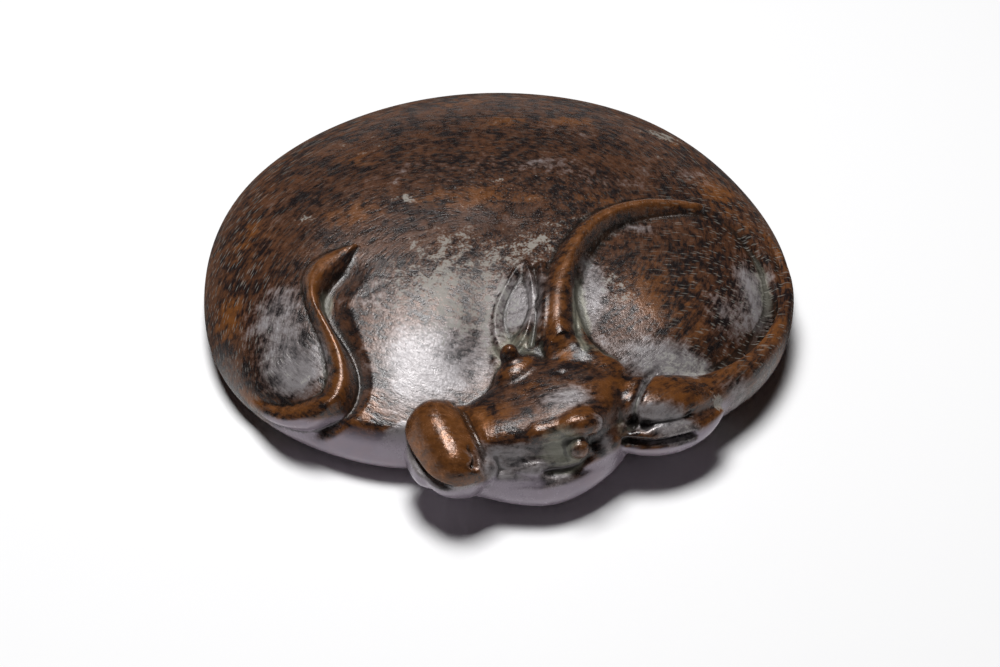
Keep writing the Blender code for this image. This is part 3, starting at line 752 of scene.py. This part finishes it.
def note_surface(obj):
    """Keeps on the casting what its patina reads: the steep sides, the wear and the hair."""
    mesh = obj.data
    points = read(mesh.vertices, "co")
    x, y, z = points.T / U
    along, side = head_way(points)
    head = smoothstep(10.6, 9.0, np.abs(side + 0.5)) * smoothstep(-6, -3, along) * smoothstep(3.5, 6, z)
    held = np.maximum(head, smoothstep(-28, -31, y))
    upward = read(mesh.vertex_normals, "vector")[:, 2]
    # The steep low sides, which the patina paints with a painted reflection of the pale table
    steep = smoothstep(0.60, 0.30, upward) * smoothstep(10.0, 8.8, z) * smoothstep(-27, -31, y)
    note(mesh, "steep", steep)
    note_wear(mesh, points, head, held)
    note_hair(mesh, points, head, held, steep)


class Number:
    """A number in a shader: arithmetic on it adds Math nodes."""

    def __init__(self, shader, socket):
        self.shader, self.socket = shader, socket

    def __add__(self, other):
        return self.shader.maths("ADD", self, other)

    def __sub__(self, other):
        return self.shader.maths("SUBTRACT", self, other)

    def __rsub__(self, other):
        return self.shader.maths("SUBTRACT", other, self)

    def __mul__(self, other):
        return self.shader.maths("MULTIPLY", self, other)

    __radd__ = __add__
    __rmul__ = __mul__


class Finish:
    """Builds one material's nodes. Its main node is a Principled BSDF."""

    def __init__(self, name):
        self.material = bpy.data.materials.new(name)
        self.material.use_nodes = True
        self.tree = self.material.node_tree
        self.main = self.tree.nodes["Principled BSDF"]

    def add(self, kind, settings=None, values=None, output=0):
        """Adds a node: its settings first, then values or links for its sockets."""
        node = self.tree.nodes.new(kind)
        for key, value in (settings or {}).items():
            setattr(node, key, value)
        self.fill(node, values or {})
        return Number(self, node.outputs[output])

    def fill(self, node, values):
        """Sets or links sockets, given by name or by place."""
        for key, value in values.items():
            if isinstance(value, Number):
                self.tree.links.new(value.socket, node.inputs[key])
            else:
                node.inputs[key].default_value = value

    def maths(self, operation, first, second):
        """A Math node on two numbers."""
        return self.add("ShaderNodeMath", {"operation": operation}, {0: first, 1: second})

    def blend(self, share, first, second):
        """A colour between two colours."""
        return self.add("ShaderNodeMix", {"data_type": "RGBA"}, {0: share, 6: first, 7: second}, output=2)

    def step(self, value, low, high):
        """0 at low, 1 at high, and a smooth turn between them."""
        return self.add("ShaderNodeMapRange", {"interpolation_type": "SMOOTHSTEP"},
                        {"Value": value, "From Min": low, "From Max": high})

    def kept(self, name):
        """A number kept on the mesh."""
        return self.add("ShaderNodeAttribute", {"attribute_name": name}, output="Fac")

    def noise(self, place, scale, detail, roughness):
        """Soft mottling, between 0 and 1."""
        values = {"Vector": place, "Scale": scale, "Detail": detail, "Roughness": roughness}
        return self.add("ShaderNodeTexNoise", None, values, output="Fac")

    def stretched(self, place, scale, turn=0.0):
        """Coordinates scaled by three numbers and turned about Z."""
        values = {"Vector": place, "Rotation": (0, 0, turn), "Scale": scale}
        return self.add("ShaderNodeMapping", None, values)

    def strokes(self, place, scale):
        """Short scattered strokes, as long as the coordinates are stretched."""
        values = {"Vector": self.stretched(place, scale), "Scale": 1.0}
        cell = self.add("ShaderNodeTexVoronoi", {"feature": "F1"}, values)
        return self.step(cell, STROKE_REACH, STROKE_REACH * 0.35)


def patina(look):
    """Dark waxed bronze: red-brown where hands rub it, grey and green where they don't, with painted shade
    in the cuts, a painted reflection of the table on the steep sides and painted glints on the strokes of
    hair.
    """
    f = Finish("bronze")
    place = f.add("ShaderNodeTexCoord", output="Object")
    hair_way = f.add("ShaderNodeAttribute", {"attribute_name": "hair_way"}, output="Vector")
    worn, hollow, grey = f.kept("worn"), f.kept("hollow"), f.kept("grey")
    dust, green, steep = f.kept("dust"), f.kept("green"), f.kept("steep")

    clouds = f.noise(place, CLOUD_SCALE, 4.0, 0.6)
    mottle = f.noise(place, MOTTLE_SCALE, 5.0, 0.65)
    speck = f.noise(place, SPECK_SCALE, 2.0, 0.6)
    # The streaks fade out where the rows of hair meet
    streak = f.noise(f.stretched(hair_way, STREAKS), 1.0, 5.0, 0.7)
    streak = (streak - 0.5) * (1 - f.kept("seam")) + 0.5
    rim_marks = f.strokes(hair_way, RIM_STROKES) * f.kept("rim_hair")
    side_way = f.stretched(place, PER_METRE, SIDE_TURN)
    side_marks = f.strokes(side_way, SIDE_STROKES) * f.kept("side_hair")
    marks = rim_marks + side_marks
    patch = (clouds - 0.5) * 1.3 + (mottle - 0.5) * 1.0 + (streak - 0.5) * 0.9

    rub = f.step(worn + patch, 0.30, 0.85)
    bright = f.step(worn + (mottle - 0.5) * 1.8, 0.85, 1.5)
    tone = f.step(streak * 0.55 + mottle * 0.4 + clouds * 0.35, 0.55, 0.75)
    colour = f.blend(tone, look.dark, look.brown)
    colour = f.blend(rub * (tone * 0.35 + 0.6), colour, look.rust)
    colour = f.blend(bright, colour, look.copper)
    grey_here = f.step(grey + patch, 0.40, 1.0) * (1 - bright)
    colour = f.blend(grey_here * (tone * 0.25 + 0.7), colour, look.grey)
    dust_here = f.step(dust + (clouds - 0.5) * 1.4 + (mottle - 0.5) * 1.8 + (speck - 0.5) * 1.2, 0.52, 0.82)
    colour = f.blend(dust_here * 0.7, colour, look.dust)
    green_here = f.step(green + (mottle - 0.5) * 1.0, 0.45, 1.0) * 0.7
    colour = f.blend(green_here, colour, look.green)
    # Painted reflection: the steep low sides take the pale table's purple-grey reflection as colour
    colour = f.blend(steep * 0.85, colour, look.side)
    # Painted shade: near black in the cuts and along the far horn's inner side
    colour = f.blend(f.step(hollow, 0.5, 1.0) * 0.7, colour, look.painted_shade)
    # The strokes of hair are painted pale: painted glints off the incised hair, also cut into the bump below
    colour = f.blend(marks * 0.45, colour, look.dust)

    matt = grey_here * 0.05 + dust_here * 0.2 + green_here * 0.12
    matt = matt + (mottle - 0.5) * 0.35 + (speck - 0.5) * 0.3
    rough = (look.roughness + matt) - f.kept("polish") * 0.08 - steep * 0.06
    grain = (mottle * 0.6 + speck * 0.35 + streak * 0.8) * (1 - steep * 0.7) - marks * 0.3
    relief = f.add("ShaderNodeBump", None, {"Height": grain, "Strength": 0.7, "Distance": look.grain_depth})
    f.fill(f.main, {
        "Base Color": colour, "Roughness": rough, "Normal": relief,
        "Metallic": 0.2 + bright * 0.4 - dust_here * 0.2, "Specular IOR Level": 0.6,
    })
    dry = f.add("ShaderNodeBsdfPrincipled", None, {
        "Base Color": colour, "Roughness": 0.9, "Normal": relief, "Specular IOR Level": 0.0})
    waxed = Number(f, f.main.outputs[0])
    f.fill(f.tree.nodes["Material Output"], {
        "Surface": f.add("ShaderNodeMixShader", None, {0: f.kept("dull"), 1: waxed, 2: dry})})
    return f.material


class CastingSizes(bpy.types.PropertyGroup):
    """How fine the casting is and how boldly it is carved."""

    grain: bpy.props.FloatProperty(
        name="Grain", description="Size of a face before the count is brought down",
        default=LENGTH / 300, min=LENGTH / 500, unit="LENGTH", precision=5)
    most_triangles: bpy.props.IntProperty(
        name="Most triangles", description="The casting is brought down to this many triangles",
        default=190000, min=10000)
    tail_rise: bpy.props.FloatProperty(
        name="Tail rise", description="How far the tail stands out of the flank",
        default=2.0 * U, min=0, unit="LENGTH", precision=5)
    horn_rise: bpy.props.FloatProperty(
        name="Far horn rise", description="How far the far horn stands out of the back",
        default=1.9 * U, min=0, unit="LENGTH", precision=5)
    dish_depth: bpy.props.FloatProperty(
        name="Shoulder depth", description="How far the shoulder between the horns is sunk along its edge",
        default=1.4 * U, min=0, unit="LENGTH", precision=5)
    cut_depth: bpy.props.FloatProperty(
        name="Cut depth", description="How deep the mouth and the creases are cut",
        default=1.0 * U, min=0, unit="LENGTH", precision=5)


def colour_property(name, description, colour):
    """A colour that a user can change."""
    return bpy.props.FloatVectorProperty(
        name=name, description=description, default=(*colour, 1), size=4, subtype="COLOR", min=0, max=1)


class PatinaLook(bpy.types.PropertyGroup):
    """The colours and the surface of the bronze, with the painted reflection on its sides and the painted
    shade in its cuts.
    """

    dark: colour_property("Dark brown", "The deepest patina", (0.013, 0.009, 0.009))
    brown: colour_property("Brown", "The common patina", (0.098, 0.041, 0.020))
    rust: colour_property("Red-brown", "Where hands rub the patina thin", (0.16, 0.058, 0.015))
    copper: colour_property("Copper", "Where the metal shows through", (0.32, 0.13, 0.05))
    grey: colour_property("Grey", "The dull patina in the hollows", (0.265, 0.248, 0.255))
    green: colour_property("Grey-green", "The patina along the deep edges", (0.29, 0.29, 0.225))
    # Pale dust is also painted on the strokes of hair, as painted glints
    dust: colour_property("Pale dust", "Dried wax and dust on the back", (0.30, 0.29, 0.26))
    # Side: a painted reflection of the pale table, laid as colour on the smooth steep sides
    side: colour_property("Side", "The smooth steep sides", (0.325, 0.275, 0.33))
    # Painted shade, near black, for the cuts and the far horn's inner side
    painted_shade: colour_property("Dirt", "What lies in the deepest cuts", (0.012, 0.009, 0.007))
    roughness: bpy.props.FloatProperty(
        name="Roughness", description="Roughness of the waxed bronze", default=0.30, min=0, max=1,
        subtype="FACTOR")
    grain_depth: bpy.props.FloatProperty(
        name="Grain depth", description="Depth of the grain and of the strokes of hair",
        default=0.15 * U, min=0, unit="LENGTH", precision=6)


class StageLook(bpy.types.PropertyGroup):
    """The table, the light and the camera."""

    floor_colour: colour_property("Floor", "Colour of the table", (0.92, 0.92, 0.925))
    lamp_watts: bpy.props.FloatProperty(
        name="Lamp", description="Power of the soft lamp overhead", default=5.0, min=0, unit="POWER")
    lamp_side: bpy.props.FloatProperty(
        name="Lamp size", description="Side of the square lamp", default=0.25, min=0.01, unit="LENGTH")
    camera_distance: bpy.props.FloatProperty(
        name="Camera distance", description="From the camera to the point it looks at",
        default=0.443, min=0.1, unit="LENGTH")
    camera_height: bpy.props.FloatProperty(
        name="Camera angle", description="The camera's angle above the table",
        default=math.radians(42), min=0, max=math.pi / 2, subtype="ANGLE")


class PAPERWEIGHT_OT_cast_buffalo(bpy.types.Operator):
    """Cast the curled-up buffalo and give it its patina"""

    bl_idname = "paperweight.cast_buffalo"
    bl_label = "Cast the buffalo"

    def execute(self, context):
        buffalo = cast_form("bronze_buffalo", context.scene.casting_sizes)
        note_surface(buffalo)
        buffalo.data.materials.clear()
        buffalo.data.materials.append(patina(context.scene.patina_look))
        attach(buffalo, "root")
        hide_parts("buffalo")
        return {"FINISHED"}


class PAPERWEIGHT_OT_set_stage(bpy.types.Operator):
    """Set the pale table, the soft lamp overhead and the camera"""

    bl_idname = "paperweight.set_stage"
    bl_label = "Set the stage"

    def execute(self, context):
        look, scene = context.scene.stage_look, context.scene
        bm = bmesh.new()
        bmesh.ops.create_grid(bm, x_segments=1, y_segments=1, size=TABLE_HALF)
        mesh = bpy.data.meshes.new("table")
        bm.to_mesh(mesh)
        bm.free()
        table = bpy.data.objects.new("table", mesh)
        scene.collection.objects.link(table)
        f = Finish("table")
        f.fill(f.main, {"Base Color": look.floor_colour, "Roughness": 0.7})
        table.data.materials.append(f.material)

        lamp = bpy.data.objects.new("lamp", bpy.data.lights.new("lamp", "AREA"))
        lamp.data.size = look.lamp_side
        lamp.data.energy = look.lamp_watts
        aim(lamp, Vector(LAMP_PLACE), Vector((0, 0, 0)))
        scene.collection.objects.link(lamp)

        world = bpy.data.worlds.new("room")
        world.use_nodes = True
        world.node_tree.nodes["Background"].inputs["Color"].default_value = ROOM_COLOUR
        scene.world = world
        scene.view_settings.view_transform = "Standard"

        camera = bpy.data.objects.new("camera", bpy.data.cameras.new("camera"))
        camera.data.lens = LENS
        camera.data.sensor_width = SENSOR_WIDTH
        back = Vector((0, -math.cos(look.camera_height), math.sin(look.camera_height)))
        target = Vector(CAMERA_TARGET)
        aim(camera, target + back * look.camera_distance, target)
        scene.collection.objects.link(camera)
        scene.camera = camera
        return {"FINISHED"}


def aim(obj, place, target):
    """Puts a lamp or a camera at a place, looking at the target."""
    obj.location = place
    obj.rotation_mode = "QUATERNION"
    obj.rotation_quaternion = (target - place).to_track_quat("-Z", "Y")


class PAPERWEIGHT_PT_sidebar(bpy.types.Panel):
    """The paperweight's sizes and colours, and what makes it"""

    bl_label = "Bronze paperweight"
    bl_space_type = "VIEW_3D"
    bl_region_type = "UI"
    bl_category = "Paperweight"

    def draw(self, context):
        for group in (context.scene.casting_sizes, context.scene.patina_look, context.scene.stage_look):
            box = self.layout.box()
            for name in group.__annotations__:
                box.prop(group, name)
        for operator in (PAPERWEIGHT_OT_cast_buffalo, PAPERWEIGHT_OT_set_stage):
            self.layout.operator(operator.bl_idname)


CLASSES = (CastingSizes, PatinaLook, StageLook, PAPERWEIGHT_OT_cast_buffalo, PAPERWEIGHT_OT_set_stage,
           PAPERWEIGHT_PT_sidebar)
GROUPS = {"casting_sizes": CastingSizes, "patina_look": PatinaLook, "stage_look": StageLook}


def register():
    for kind in CLASSES:
        bpy.utils.register_class(kind)
    for name, group in GROUPS.items():
        setattr(bpy.types.Scene, name, bpy.props.PointerProperty(type=group))


def unregister():
    for name in GROUPS:
        delattr(bpy.types.Scene, name)
    for kind in reversed(CLASSES):
        bpy.utils.unregister_class(kind)


def main():
    register()
    bpy.ops.paperweight.set_stage()
    bpy.ops.paperweight.cast_buffalo()


if __name__ == "__main__":
    main()
